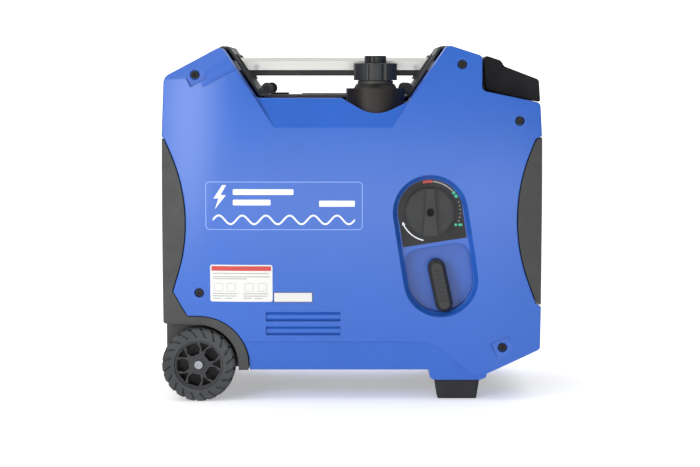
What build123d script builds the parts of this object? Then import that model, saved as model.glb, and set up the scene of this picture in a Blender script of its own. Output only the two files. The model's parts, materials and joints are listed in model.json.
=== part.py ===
from build123d import *
import os
from math import cos, radians, sin, sqrt

# Suitcase-style inverter generator. X runs from the wheel end (-) to the control panel end (+),
# Y from the recoil starter side (-) to the service side (+), and Z up from the floor.
# The origin is on the floor, under the middle of the machine. All sizes are in millimetres.

os.makedirs("parts", exist_ok=True)

# ---------------------------------------------------------------- driving dimensions
HALF_WIDTH = 165.0  # the outer face of each side shell, where it bulges most
SEAM_Y = 84.0  # the side shells start here, and the centre covers end just inside it
CENTRE_Y = SEAM_Y - 0.5
WALL = 3.0  # moulded wall thickness
BULGE_Z = 250.0  # height of the side shell's widest line
BULGE_R = 2239.0
END_BEND_BACK = (-140.0, 490.0)  # where the side face starts to curve towards the end, and its radius
END_BEND_FRONT = (190.0, 560.0)
END_TURN = 24.0  # degrees that each end bend is drawn through, past the end of the body
FAR_X = 300.0  # beyond both ends, for cutting shapes
FAR_Z = 560.0

BACK_X = -285.5  # the wheel end of the body
FRONT_X = 281.5  # the control panel end of the body
SKIRT_Z = 46.5  # lowest edge of the side shells
DECK_Z = 453.5  # top of the body between the two towers
PEDESTAL_Z = 30.5  # underside of the pedestal that carries a foot

WHEEL_X = -231.0
WHEEL_R = 55.0
TYRE_IN = 127.0  # inner side face of a tyre, from the middle of the machine
TYRE_OUT = 161.0
RIM_R = 37.0
HUB_R = 9.0
AXLE_R = 5.0
AXLE_END = 156.0
RUN_FIT = 0.05  # radial clearance of a running fit
WELL_R = 59.5
WELL_Y = 121.0  # inner wall of a wheel well
ARCH_R = 73.0  # edge of the side shell round the wheel arch

RAIL_Y = 48.0  # the two carrying rails, each side of the middle
RAIL_Z = 505.0
RAIL_W = 20.0
RAIL_H = 19.2
RAIL_BACK = -205.0
RAIL_FRONT = 180.0
STRIP_H = 8.4
TUBE_R = 7.0  # tow handle tubes, which slide inside the rails
TUBE_Z = 504.0
TUBE_BORE_R = 7.4

FILLER_X = 34.0
FILLER_Y = -104.0
DRUM_R = 44.0
DRUM_TOP = 468.0
NECK_R = 24.5
NECK_BORE_R = 20.0
NECK_TOP = 489.0
CAP_R = 32.7
CAP_Z = 479.8
CAP_TOP = 505.4
CORE_R = 28.0

DIAL_X = 115.4  # centre of the fuel dial
DIAL_Z = 284.6
POCKET_TILT = 8.9  # the starter pocket leans this much from the vertical
POCKET_STEP = 103.8  # from the dial's centre to the pocket's lower centre
POCKET_R = 56.0
POCKET_DEPTH = 16.0
BOWL_DEPTH = 34.0
BOWL_R = 49.0
KNOB_R = 36.5
KNOB_TOP = 0.5  # the knob stays this far inside the widest line

CRANK_Z = 216.0  # the crankshaft's axis lies along X
CRANK_R = 12.0
REEL_X = 131.0  # the lane the rope leaves the reel from
REEL_R = 42.0  # radius the recoil rope winds at
ROPE_R = 2.25
GRIP_Z = CRANK_Z - REEL_R
GRIP_TILT = 12.0

PANEL_X = 268.0  # back of the control panel plate
PANEL_FACE = 272.0
PANEL_Y = 118.0
PANEL_BOTTOM = 161.5
PANEL_TOP = 384.0
SOCKET_Z = 205.0
AC_SOCKET_Y = [-62.0, 4.0]
DC_SOCKET_Y = 68.0

# Side outlines as corners (x, z, corner radius), clockwise from the wheel end's top.
SHELL_OUTLINE = [
    (BACK_X, 396, 1.5),
    (-282.5, 485, 14),
    (-196, 531, 10),
    (-145, DECK_Z, 7),
    (-17, DECK_Z, 9),
    (33, 425, 50),
    (82.5, 448, 5),
    (141, 532.5, 9),
    (192, 516, 7),
    (191.4, 464.5, 9),
    (278.5, 446.5, 7),
    (281, 397, 1.5),
    (271.5, 393.5, 5),
    (223.5, 281, 267),
    (273, 147.5, 5),
    (FRONT_X, 142.5, 1.5),
    (281, 77.5, 6),
    (201, 41, 1),
    (200.6, 34, 1),
    (192, PEDESTAL_Z, 1),
    (122, PEDESTAL_Z, 1),
    (116, 34, 1),
    (115, SKIRT_Z, 2),
    (WHEEL_X + ARCH_R + 3, SKIRT_Z, 1),
    (WHEEL_X + ARCH_R + 3, 128, ARCH_R),
    (-248, 128, 2),
    (-269.5, 164, 4),
    (-231.6, 283.4, 252),
    (-281, 393, 3),
]
REAR_INSERT = [
    (BACK_X, 394.2, 1),
    (-282.5, 392.2, 2),
    (-233.1, 283.4, 252),
    (-271.2, 164, 4),
    (-248.8, 126.6, 3),
    (WHEEL_X + ARCH_R + 1.5, 126.6, ARCH_R - 1.5),
    (WHEEL_X + ARCH_R + 1.5, SKIRT_Z, 1),
    (-282, SKIRT_Z, 1),
    (-282, 114, 1),
    (BACK_X, 117, 1),
]
FRONT_INSERT = [
    (FRONT_X, 395.5, 1),
    (272.8, 392, 5),
    (225, 281, 267),
    (274.3, 148.8, 5),
    (FRONT_X, 144.3, 1),
]
# The centre covers' outer faces, as open paths (x, z, corner radius).
REAR_TOWER = [
    (BACK_X + 0.4, 397, 0),
    (-282, 485.8, 14),
    (-198.5, 531.7, 8),
    (-187.5, 531.2, 4),
    (-137.5, 456, 0),
]
FRONT_TOWER = [
    (81.5, 456, 0),
    (131.8, 531.4, 4),
    (143, 532, 8),
    (192.6, 516.4, 6),
    (191.8, 463.6, 8),
    (278.3, 445.8, 6),
    (280.8, 397.5, 0),
]
TRAY_PATH = [(281, 142.2, 0), (280.7, 77.8, 6), (212, 46, 4), (-278.6, 46, 0)]
MID_RECESS = [(-156, 471, 1), (-108, 398, 16), (51, 398, 16), (99.5, 471, 1)]
MID_PROFILE = [(-178, 345), (-142, 470), (-178, 470)]
SKIRT_RECESS = [
    (-175, 20, 1),
    (-175, 89.8, 1),
    (121, 89.8, 78),
    (178, 38.5, 20),
    (215, 38, 1),
    (215, 20, 1),
]
SKIRT_PROFILE = [(-178, 95), (-156.5, 91), (-155.5, 84), (-145, 20), (-178, 20)]
TOW_GRIP = [
    (198, 513, 4),
    (204, 517, 4),
    (225, 510, 4),
    (231, 501, 4),
    (283.5, 481, 6),
    (285.9, 446.6, 3),
    (222, 459.4, 12),
    (202, 465.6, 5),
]
TOP_SLOPE = [(-282.5, 485), (-196, 531)]  # the rear tower's top edge, which the side face rolls over to
SLOPE_ROLL = [(147, -42), (140, -18), (126, 2)]  # y out from the middle, and depth below that edge
SCREW_PADS = [(-234.9, 488, 28.0, 139.4), (224.4, 81, 204.6, 156.3)]  # x, z, turn, and y of the flat
PAD_W = 28.0
PAD_DROP = 13.0  # from a pad's screw to the pad's inner edge
DOOR = [(-135, 150, 18), (-135, 390, 18), (50, 390, 18), (50, 150, 18)]

SCREW_PLACES = [(-234.9, 488), (162.3, 503.4), (247.8, 420), (224.4, 81), (-229.6, 163.2)]
SCREW_R = 3.0
SCREW_HEAD_R = 5.4
SCREW_WELL_R = 7.2
SCREW_WELL_DEPTH = 9.0
LUG_PLACES = [(-130.2, 467.6), (82.5, 467.6)]
LUG_R = 9.0
SLOTS = [(100.2, 113.2), (121.3, 134.8)]  # bottom and top of each shallow slot

POCKET_PLANE = Plane(
    origin=(DIAL_X, -HALF_WIDTH, DIAL_Z),
    x_dir=(sin(radians(POCKET_TILT)), 0, -cos(radians(POCKET_TILT))),
    z_dir=(0, -1, 0),
)
GRIP_PLANE = Plane(
    origin=(REEL_X, -HALF_WIDTH, GRIP_Z),
    x_dir=(sin(radians(GRIP_TILT)), 0, -cos(radians(GRIP_TILT))),
    z_dir=(0, -1, 0),
)
CYLINDER_TILT = 60.0  # the engine's cylinder leans over towards the service side
CYLINDER_PLANE = Plane(
    origin=(-20, 0, CRANK_Z),
    x_dir=(1, 0, 0),
    z_dir=(0, sin(radians(CYLINDER_TILT)), cos(radians(CYLINDER_TILT))),
)


# ---------------------------------------------------------------- helpers
def finish(piece, name):
    """Labels a finished piece and writes its STEP file."""
    piece.label = name
    export_step(piece, f"parts/{name}.step")


def side_prism(corners, y_start, y_end, grow=0.0):
    """A prism with a rounded XZ outline, from y_start to y_end, its outline grown by grow."""
    with BuildPart() as prism:
        with BuildSketch(Plane.XZ.offset(-y_end)):
            with BuildLine():
                FilletPolyline(
                    *[corner[:2] for corner in corners],
                    radius=[corner[2] for corner in corners],
                    close=True,
                )
            make_face()
            if grow:
                offset(amount=grow, kind=Kind.INTERSECTION)
        extrude(amount=y_end - y_start)
    return prism.part


def side_band(path, y_half, thickness):
    """A bent strip of even thickness across the middle, its outer face following path."""
    with BuildPart() as strip:
        with BuildSketch(Plane.XZ.offset(-y_half)):
            with BuildLine():
                FilletPolyline(
                    *[corner[:2] for corner in path],
                    radius=[corner[2] for corner in path[1:-1]],
                )
                offset(amount=thickness, side=Side.RIGHT)
            make_face()
        extrude(amount=2 * y_half)
    return strip.part


def rod(plane, radius, start, end):
    """A round bar along a plane's normal, from start to end along that normal."""
    with BuildPart() as bar:
        with BuildSketch(plane.offset(start)):
            Circle(radius)
        extrude(amount=end - start)
    return bar.part


def ring(plane, outer, inner, start, end):
    """A tube along a plane's normal."""
    with BuildPart() as tube:
        with BuildSketch(plane.offset(start)):
            Circle(outer)
            Circle(inner, mode=Mode.SUBTRACT)
        extrude(amount=end - start)
    return tube.part


def block(x_range, y_range, z_range, soft=0.0):
    """A box given by its ranges, its upright corners rounded by soft."""
    with BuildPart() as body:
        with BuildSketch(Plane.XY.offset(z_range[0])):
            with Locations(((x_range[0] + x_range[1]) / 2, (y_range[0] + y_range[1]) / 2)):
                if soft:
                    RectangleRounded(x_range[1] - x_range[0], y_range[1] - y_range[0], soft)
                else:
                    Rectangle(x_range[1] - x_range[0], y_range[1] - y_range[0])
        extrude(amount=z_range[1] - z_range[0])
    return body.part


def along_x(y, z):
    """A plane that faces +X, through (y, z)."""
    return Plane(origin=(0, y, z), x_dir=(0, 1, 0), z_dir=(1, 0, 0))


def along_y(x, z):
    """A plane that faces +Y, through (x, z)."""
    return Plane(origin=(x, 0, z), x_dir=(-1, 0, 0), z_dir=(0, 1, 0))


def side_face_y(x, z):
    """Where the bulging side face lies on the starter side, at (x, z)."""
    drop = BULGE_R - sqrt(BULGE_R**2 - (z - BULGE_Z) ** 2)
    bend_x, bend_r = END_BEND_BACK if x < 0 else END_BEND_FRONT
    past = max(0.0, (x - bend_x) * (1 if bend_x > 0 else -1))
    return bend_r - HALF_WIDTH - sqrt((bend_r - drop) ** 2 - past**2)


def crown(inset):
    """The space behind the bulging side face of the starter side, moved inwards by inset."""
    face = HALF_WIDTH - inset
    back_x, back_r = END_BEND_BACK
    front_x, front_r = END_BEND_FRONT
    low_drop = BULGE_R - sqrt(BULGE_R**2 - BULGE_Z**2)
    high_drop = BULGE_R - sqrt(BULGE_R**2 - (FAR_Z - BULGE_Z) ** 2)
    with BuildPart() as bulge:
        with BuildSketch(Plane.YZ.offset(back_x)) as section:
            with BuildLine():
                ThreePointArc((low_drop - face, 0), (-face, BULGE_Z), (high_drop - face, FAR_Z))
                Polyline((high_drop - face, FAR_Z), (0, FAR_Z), (0, 0), (low_drop - face, 0))
            make_face()
        extrude(amount=front_x - back_x)
        for x, bend_r, turn in ((back_x, back_r, -END_TURN), (front_x, front_r, END_TURN)):
            with BuildSketch(Plane.YZ.offset(x)):
                add(section.sketch_local)
            revolve(axis=Axis((x, bend_r - HALF_WIDTH, 0), (0, 0, 1)), revolution_arc=turn)
    return bulge.part


def recess_cut(corners, profile, grow=0.0):
    """What a recess removes from the side face: an outline swept along X under a (y, z) profile."""
    with BuildPart() as cut:
        with BuildSketch(Plane.YZ.offset(-200)):
            with BuildLine():
                Polyline(*[(y + grow, z) for y, z in profile], close=True)
            make_face()
        extrude(amount=440)
        add(side_prism(corners, -HALF_WIDTH - 20, 0, grow), mode=Mode.INTERSECT)
    return cut.part


def slope_cut(inset):
    """What rolls the side face over to the rear tower's sloping top edge."""
    (x0, z0), (x1, z1) = TOP_SLOPE
    edge = Plane(origin=(x1, 0, z1), x_dir=(0, -1, 0), z_dir=(x0 - x1, 0, z0 - z1))
    roll = [(y - inset, depth) for y, depth in SLOPE_ROLL]
    with BuildPart() as cut:
        with BuildSketch(edge.offset(-60)):
            with BuildLine():
                ThreePointArc(*roll)
                Polyline(roll[-1], (roll[-1][0], 40), (200, 40), (200, roll[0][1]), roll[0])
            make_face()
        extrude(amount=220)
    return cut.part


def screw_pad_cut(inset):
    """What leaves a flat pad round each corner screw, open towards the nearest edge."""
    with BuildPart() as cut:
        for x, z, turn, flat_y in SCREW_PADS:
            with BuildSketch(Plane.XZ.offset(flat_y - inset)):
                with Locations(Location((x, z, 0), turn)):
                    with Locations((0, 30 - PAD_DROP)):
                        Rectangle(PAD_W + 2 * inset, 60 + 2 * inset)
            extrude(amount=30)
    return cut.part


def side_blank(outline, inset, grow, seam):
    """A filled side shape on the starter side, for a shell's outside or its hollow."""
    with BuildPart() as blank:
        add(side_prism(outline, -HALF_WIDTH - 5, seam, grow))
        add(crown(inset), mode=Mode.INTERSECT)
        add(recess_cut(MID_RECESS, MID_PROFILE, inset), mode=Mode.SUBTRACT)
        add(recess_cut(SKIRT_RECESS, SKIRT_PROFILE, inset), mode=Mode.SUBTRACT)
        add(slope_cut(inset), mode=Mode.SUBTRACT)
        add(screw_pad_cut(inset), mode=Mode.SUBTRACT)
    return blank.part


def full_width(half):
    """A starter-side shape joined to its mirror image on the service side."""
    with BuildPart() as both:
        add(half)
        mirror(half, about=Plane.XZ)
    return both.part


def shell_base(outline):
    """A hollow side shell on the starter side, with its screw bosses and wells."""
    with BuildPart() as base:
        add(side_blank(outline, 0, 0, -SEAM_Y))
        add(side_blank(outline, WALL, -WALL, -SEAM_Y + 5), mode=Mode.SUBTRACT)
        with BuildPart(mode=Mode.PRIVATE) as bosses:
            for x, z, face_y in screw_wells:
                add(rod(along_y(x, z), SCREW_WELL_R + 2.6, -HALF_WIDTH, face_y + SCREW_WELL_DEPTH + 4))
            for x in TANK_SHELF_X:
                add(block((x - 9, x + 9), (-HALF_WIDTH, TANK_SHELF_Y), (TANK_LOW - 7, TANK_LOW)))
            add(side_blank(outline, 0, 0, -SEAM_Y), mode=Mode.INTERSECT)
        add(bosses.part)
        for x, z, face_y in screw_wells:
            well_floor = face_y + SCREW_WELL_DEPTH
            add(rod(along_y(x, z), SCREW_WELL_R, -HALF_WIDTH - 1, well_floor), mode=Mode.SUBTRACT)
            add(rod(along_y(x, z), SCREW_R + 0.4, -HALF_WIDTH, 0), mode=Mode.SUBTRACT)
    return base.part


TANK_LOW = 362.0
TANK_SHELF_X = [-105.0, 145.0]  # two shelves inside each shell carry the tank's edges
TANK_SHELF_Y = -118.0
PLAIN_OUTLINE = SHELL_OUTLINE[:3] + [(-145, DECK_Z, 7), (86, DECK_Z, 7)] + SHELL_OUTLINE[7:]
screw_wells = [(x, z, side_face_y(x, z)) for x, z in SCREW_PLACES]
side_space = crown(0)
starter_outside = side_blank(SHELL_OUTLINE, 0, 0, -SEAM_Y)
service_outside = mirror(side_blank(PLAIN_OUTLINE, 0, 0, -SEAM_Y), about=Plane.XZ)


# ---------------------------------------------------------------- side shells
POCKET_MIDDLE = (POCKET_STEP / 2, 0)
BOWL_TOP = 53.0  # upper edge of the bowl, below the dial's centre
with BuildPart() as pocket_backing:
    with BuildSketch(POCKET_PLANE.offset(-POCKET_DEPTH - WALL)):
        with Locations(POCKET_MIDDLE):
            SlotCenterToCenter(POCKET_STEP, 2 * POCKET_R + 2 * WALL)
    extrude(amount=POCKET_DEPTH + WALL)
    with BuildSketch(POCKET_PLANE.offset(-BOWL_DEPTH - WALL)):
        with Locations((POCKET_STEP, 0)):
            Circle(BOWL_R + WALL)
            with Locations((-(POCKET_STEP - BOWL_TOP) / 2, 0)):
                Rectangle(POCKET_STEP - BOWL_TOP + 2 * WALL, 2 * BOWL_R + 2 * WALL)
    extrude(amount=BOWL_DEPTH)
    add(starter_outside, mode=Mode.INTERSECT)

with BuildPart() as pocket_cut:
    with BuildSketch(POCKET_PLANE):
        with Locations(POCKET_MIDDLE):
            SlotCenterToCenter(POCKET_STEP, 2 * POCKET_R)
    extrude(amount=-POCKET_DEPTH, taper=20.5)
    with BuildSketch(POCKET_PLANE.offset(-BOWL_DEPTH)) as bowl_outline:
        with Locations((POCKET_STEP, 0)):
            Circle(BOWL_R)
            with Locations((-(POCKET_STEP - BOWL_TOP) / 2, 0)):
                Rectangle(POCKET_STEP - BOWL_TOP, 2 * BOWL_R)
        fillet(bowl_outline.vertices().group_by(Axis((0, 0, 0), POCKET_PLANE.x_dir))[0], 20)
    extrude(amount=BOWL_DEPTH - POCKET_DEPTH + 0.1)

ROPE_HOLE_R = 6.0
PILLOW_R = 7.6  # the rounded floor of a side slot
VALVE_SHAFT_R = 6.0
with BuildPart() as starter_side_shell:
    add(shell_base(SHELL_OUTLINE))
    add(pocket_backing.part)
    for low, high in SLOTS:
        slot_back = [(-132.5, low - 3, 2), (-132.5, high + 3, 2), (-15.5, high + 3, 2), (-15.5, low - 3, 2)]
        add(side_prism(slot_back, side_face_y(-80, low) + 1, side_face_y(-80, low) + 9))
    add(pocket_cut.part, mode=Mode.SUBTRACT)
    for low, high in SLOTS:
        slot_hole = [(-129.5, low, 1.5), (-129.5, high, 1.5), (-18.5, high, 1.5), (-18.5, low, 1.5)]
        slot_face = side_face_y(-80, low)
        add(side_prism(slot_hole, -HALF_WIDTH - 1, slot_face + 6), mode=Mode.SUBTRACT)
        with BuildPart(mode=Mode.PRIVATE) as pillow:
            add(rod(along_x(slot_face + PILLOW_R + 1.2, (low + high) / 2), PILLOW_R, -129.5, -18.5))
            add(side_prism(slot_hole, slot_face, slot_face + 7), mode=Mode.INTERSECT)
        add(pillow.part)
    add(rod(along_y(REEL_X, GRIP_Z), ROPE_HOLE_R, -HALF_WIDTH, -100), mode=Mode.SUBTRACT)
    add(rod(along_y(DIAL_X, DIAL_Z), VALVE_SHAFT_R + RUN_FIT, -HALF_WIDTH, -100), mode=Mode.SUBTRACT)
    add(rod(Plane.XY.move(Location((FILLER_X, FILLER_Y, 0))), DRUM_R + 0.5, 400, 500), mode=Mode.SUBTRACT)
finish(starter_side_shell.part, "starter_side_shell")

DOOR_GAP = 1.0
DOOR_T = 5.7
LEDGE_T = 6.0
door_wells = [(x, z, -side_face_y(x, z) - SCREW_WELL_DEPTH) for x in (-118, 33) for z in (167, 373)]
with BuildPart() as service_side_shell:
    mirror(shell_base(PLAIN_OUTLINE), about=Plane.XZ)
    with BuildPart(mode=Mode.PRIVATE) as door_frame:
        add(side_prism(DOOR, HALF_WIDTH - DOOR_T - 0.3 - LEDGE_T, HALF_WIDTH, 6))
        for x, z, well_y in door_wells:
            add(rod(along_y(x, z), SCREW_WELL_R + 5, well_y - 9, HALF_WIDTH - LEDGE_T))
        add(service_outside, mode=Mode.INTERSECT)
    add(door_frame.part)
    add(side_prism(DOOR, HALF_WIDTH - DOOR_T - 0.3, HALF_WIDTH + 1), mode=Mode.SUBTRACT)
    with BuildPart(mode=Mode.PRIVATE) as door_opening:
        add(side_prism(DOOR, SEAM_Y, HALF_WIDTH + 1, -9))
        for x, z, well_y in door_wells:
            add(rod(along_y(x, z), SCREW_WELL_R + 5, SEAM_Y, HALF_WIDTH + 1), mode=Mode.SUBTRACT)
    add(door_opening.part, mode=Mode.SUBTRACT)
    for x, z, well_y in door_wells:
        add(rod(along_y(x, z), SCREW_WELL_R + 3, well_y - 4, HALF_WIDTH + 1), mode=Mode.SUBTRACT)
        add(rod(along_y(x, z), SCREW_R + 0.4, SEAM_Y, HALF_WIDTH), mode=Mode.SUBTRACT)
finish(service_side_shell.part, "service_side_shell")

LOUVRES = 7
with BuildPart() as service_door:
    add(side_prism(DOOR, HALF_WIDTH - DOOR_T, HALF_WIDTH + 1, -DOOR_GAP))
    for x, z, well_y in door_wells:
        add(rod(along_y(x, z), SCREW_WELL_R + 2.6, well_y - 3.7, HALF_WIDTH))
    mirror(side_space, about=Plane.XZ, mode=Mode.INTERSECT)
    for row in range(LOUVRES):
        z = 205 + 22 * row
        louvre = [(-100, z, 2), (-100, z + 10, 2), (15, z + 10, 2), (15, z, 2)]
        add(side_prism(louvre, HALF_WIDTH - 3.2, HALF_WIDTH + 1), mode=Mode.SUBTRACT)
    for x, z, well_y in door_wells:
        add(rod(along_y(x, z), SCREW_WELL_R, well_y, HALF_WIDTH + 1), mode=Mode.SUBTRACT)
        add(rod(along_y(x, z), SCREW_R + 0.4, SEAM_Y, HALF_WIDTH + 1), mode=Mode.SUBTRACT)
finish(service_door.part, "service_door")


def socket_screw(x, z, seat_y):
    """A socket head screw that goes in towards +Y, with the underside of its head at seat_y."""
    with BuildPart() as screw:
        add(rod(along_y(x, z), SCREW_HEAD_R, seat_y - 6, seat_y))
        add(rod(along_y(x, z), SCREW_R, seat_y, seat_y + 16))
        with BuildSketch(Plane.XZ.offset(6 - seat_y)):
            with Locations((x, z)):
                RegularPolygon(2.6, 6)
        extrude(amount=-3.5, mode=Mode.SUBTRACT)
    return screw.part


with BuildPart() as shell_screws:
    for x, z, face_y in screw_wells:
        add(full_width(socket_screw(x, z, face_y + SCREW_WELL_DEPTH)))
    for x, z, well_y in door_wells:
        mirror(socket_screw(x, z, -well_y), about=Plane.XZ)
finish(shell_screws.part, "shell_screws")


# ---------------------------------------------------------------- end covers
side_limit = full_width(crown(1.2))
inner_limit = full_width(crown(1.2 + WALL + 1))
TAIL_Y = 40.0
TAIL_Z = 300.0
TAIL_R = 13.0
with BuildPart() as rear_end_cover:
    add(side_prism(REAR_INSERT, -HALF_WIDTH, HALF_WIDTH))
    add(side_limit, mode=Mode.INTERSECT)
    with BuildPart(mode=Mode.PRIVATE) as rear_hollow:
        add(block((BACK_X + WALL, -100), (-HALF_WIDTH, HALF_WIDTH), (132, 391)))
        add(inner_limit, mode=Mode.INTERSECT)
        add(block((-279, -100), (-WELL_Y + WALL, WELL_Y - WALL), (20, 135)))
    add(rear_hollow.part, mode=Mode.SUBTRACT)
    for start in (-HALF_WIDTH - 1, WELL_Y):
        end = start + HALF_WIDTH + 1 - WELL_Y
        add(rod(along_y(WHEEL_X, WHEEL_R), WELL_R, start, end), mode=Mode.SUBTRACT)
        add(block((-FAR_X, WHEEL_X - 10), (start, end), (20, 114.5)), mode=Mode.SUBTRACT)
        add(block((-FAR_X, WHEEL_X + WELL_R), (start, end), (20, 55)), mode=Mode.SUBTRACT)
    add(rod(along_y(WHEEL_X, WHEEL_R), AXLE_R + 0.5, -HALF_WIDTH, HALF_WIDTH), mode=Mode.SUBTRACT)
    for row in range(9):
        z = 168 + 11 * row
        add(block((BACK_X - 1, BACK_X + 1.5), (-92, 92), (z, z + 5)), mode=Mode.SUBTRACT)
    add(rod(along_x(TAIL_Y, TAIL_Z), TAIL_R + 5, -FAR_X, -270), mode=Mode.SUBTRACT)
finish(rear_end_cover.part, "rear_end_cover")

with BuildPart() as front_end_frame:
    add(side_prism(FRONT_INSERT, -HALF_WIDTH, HALF_WIDTH))
    add(side_limit, mode=Mode.INTERSECT)
    with BuildPart(mode=Mode.PRIVATE) as front_hollow:
        add(block((200, PANEL_X - 4), (-HALF_WIDTH, HALF_WIDTH), (148.5, 391.5)))
        add(inner_limit, mode=Mode.INTERSECT)
    add(front_hollow.part, mode=Mode.SUBTRACT)
    for back_x, lip in ((PANEL_X, 0), (200, 4)):
        half, low, high = PANEL_Y - lip, PANEL_BOTTOM + lip, PANEL_TOP - lip
        add(block((back_x, FAR_X), (-half, half), (low, high)), mode=Mode.SUBTRACT)
finish(front_end_frame.part, "front_end_frame")


# ---------------------------------------------------------------- top covers, rails and tow handle
COVER_T = 4.0
RAIL_LOW = RAIL_Z - RAIL_H / 2
RAIL_HIGH = RAIL_Z + RAIL_H / 2
STRIP_LOW = RAIL_LOW - STRIP_H


def rail_block(x_range, half_width, low, high):
    """A block along the starter side's rail."""
    return block(x_range, (RAIL_Y - half_width, RAIL_Y + half_width), (low, high))


rail_space = rail_block((RAIL_BACK, RAIL_FRONT), RAIL_W / 2, RAIL_LOW, RAIL_HIGH)
strip_space = rail_block((RAIL_BACK, RAIL_FRONT), 8, STRIP_LOW, RAIL_LOW)
collar_space = rail_block((-182, 121), 14, STRIP_LOW - 5, RAIL_HIGH + 5)
with BuildPart() as rail_passages:
    add(full_width(rail_space))
    add(full_width(strip_space))


def tower_cover(path, collar_path, lug_place, lug_slope):
    """A tower's centre cover with its rail collars and its two screw lugs."""
    lug_x, lug_z = lug_place
    with BuildPart() as cover:
        add(side_band(path, CENTRE_Y, COVER_T))
        with BuildPart(mode=Mode.PRIVATE) as collars:
            add(side_band(collar_path, CENTRE_Y, COVER_T + 3))
            add(full_width(collar_space), mode=Mode.INTERSECT)
        add(collars.part)
        with BuildPart(mode=Mode.PRIVATE) as lug:
            add(rod(along_y(lug_x, lug_z), LUG_R, -CENTRE_Y, -CENTRE_Y + 12))
            add(block(lug_slope, (-CENTRE_Y, -CENTRE_Y + 12), (lug_z - LUG_R, lug_z)))
        add(full_width(lug.part))
        add(rod(along_y(lug_x, lug_z), 1.5, -FAR_X, -CENTRE_Y + 2), mode=Mode.SUBTRACT)
        add(rod(along_y(lug_x, lug_z), 1.5, CENTRE_Y - 2, FAR_X), mode=Mode.SUBTRACT)
        add(rail_passages.part, mode=Mode.SUBTRACT)
    return cover.part


REAR_COLLAR = [(-196, 545, 0), (-172.5, 515, 1), (-148, 478, 0)]
FRONT_COLLAR = [(91, 478, 0), (116, 515, 1), (138, 545, 0)]
with BuildPart() as rear_tower_cover:
    add(tower_cover(REAR_TOWER, REAR_COLLAR, LUG_PLACES[0], (-143, -130)))
finish(rear_tower_cover.part, "rear_tower_cover")

with BuildPart() as front_tower_cover:
    add(tower_cover(FRONT_TOWER, FRONT_COLLAR, LUG_PLACES[1], (78, 89)))
    for y in (-RAIL_Y, RAIL_Y):
        add(ring(along_x(y, TUBE_Z), 11, TUBE_BORE_R, 187, 193.6))
        add(rod(along_x(y, TUBE_Z), TUBE_BORE_R, 170, 200), mode=Mode.SUBTRACT)
finish(front_tower_cover.part, "front_tower_cover")

DECK_TOP = 458.0
with BuildPart() as top_deck:
    add(block((-134, 77.5), (-CENTRE_Y, CENTRE_Y), (DECK_TOP - COVER_T, DECK_TOP)))
    add(block((-134, -83), (-CENTRE_Y - 6, CENTRE_Y + 6), (DECK_Z + 0.5, DECK_TOP)))
    add(block((-128, -100), (-30, 30), (DECK_TOP, DECK_TOP + 3), 8))
    for row in range(5):
        add(block((-80, 60), (8 + 13 * row, 14 + 13 * row), (DECK_TOP, DECK_TOP + 1.5)))
    add(rod(Plane.XY.move(Location((FILLER_X, FILLER_Y, 0))), DRUM_R + 0.5, 400, 500), mode=Mode.SUBTRACT)
finish(top_deck.part, "top_deck")

RAIL_SCREW_X = [97.0, -148.0]
cover_screw_seats = [(x, z, -CENTRE_Y) for x, z in LUG_PLACES]
cover_screw_seats += [(x, RAIL_Z - 5.0, -RAIL_Y - RAIL_W / 2) for x in RAIL_SCREW_X]
COVER_HEAD_R = 4.4
COVER_HEAD_T = 3.0
with BuildPart() as cover_screws:
    for x, z, seat_y in cover_screw_seats:
        with BuildPart(mode=Mode.PRIVATE) as cover_screw:
            add(rod(along_y(x, z), COVER_HEAD_R, seat_y - COVER_HEAD_T, seat_y))
            add(rod(along_y(x, z), 1.5, seat_y, seat_y + 2))
            with BuildSketch(Plane.XZ.offset(COVER_HEAD_T - seat_y)):
                with Locations((x, z)):
                    RegularPolygon(2.2, 6)
            extrude(amount=-1.8, mode=Mode.SUBTRACT)
        add(full_width(cover_screw.part))
finish(cover_screws.part, "cover_screws")

with BuildPart() as handle_rails:
    with BuildPart(mode=Mode.PRIVATE) as rail:
        add(rail_space)
        chamfer(rail.edges().filter_by(Axis.X).group_by(Axis.Z)[-1].sort_by(Axis.Y), 5)
        add(rod(along_x(RAIL_Y, TUBE_Z), TUBE_BORE_R, RAIL_BACK, RAIL_FRONT), mode=Mode.SUBTRACT)
        for x in RAIL_SCREW_X:
            add(rod(along_y(x, RAIL_Z - 5), 1.5, RAIL_Y + 8, RAIL_Y + 11), mode=Mode.SUBTRACT)
    add(full_width(rail.part))
finish(handle_rails.part, "handle_rails")

with BuildPart() as rail_grip_strips:
    add(full_width(strip_space))
finish(rail_grip_strips.part, "rail_grip_strips")

TUBE_BACK = -170.0
GRIP_ARM_X = 216.0
with BuildPart() as tow_handle_tubes:
    add(full_width(ring(along_x(RAIL_Y, TUBE_Z), TUBE_R, TUBE_R - 1.5, TUBE_BACK, GRIP_ARM_X)))
finish(tow_handle_tubes.part, "tow_handle_tubes")

TOW_HALF_Y = 80.0
TOW_GAP_Y = 34.0
with BuildPart() as tow_handle_grip:
    add(side_prism(TOW_GRIP, -TOW_HALF_Y, TOW_HALF_Y))
    fillet(tow_handle_grip.faces().group_by(Axis.Y)[0].edges(), 1.6)
    fillet(tow_handle_grip.faces().group_by(Axis.Y)[-1].edges(), 1.6)
    add(block((180, 247), (-TOW_GAP_Y, TOW_GAP_Y), (440, 530)), mode=Mode.SUBTRACT)
    for y in (-RAIL_Y, RAIL_Y):
        add(rod(along_x(y, TUBE_Z), TUBE_R, 190, GRIP_ARM_X), mode=Mode.SUBTRACT)
    add(block((244, 262), (-15.4, 15.4), (474.6, 500)), mode=Mode.SUBTRACT)
finish(tow_handle_grip.part, "tow_handle_grip")

with BuildPart() as tow_handle_release:
    add(block((246.6, 261.6), (-15, 15), (479.5, 491.5), 2))
    fillet(tow_handle_release.faces().sort_by(Axis.Z)[-1].edges(), 1.5)
finish(tow_handle_release.part, "tow_handle_release")


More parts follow.
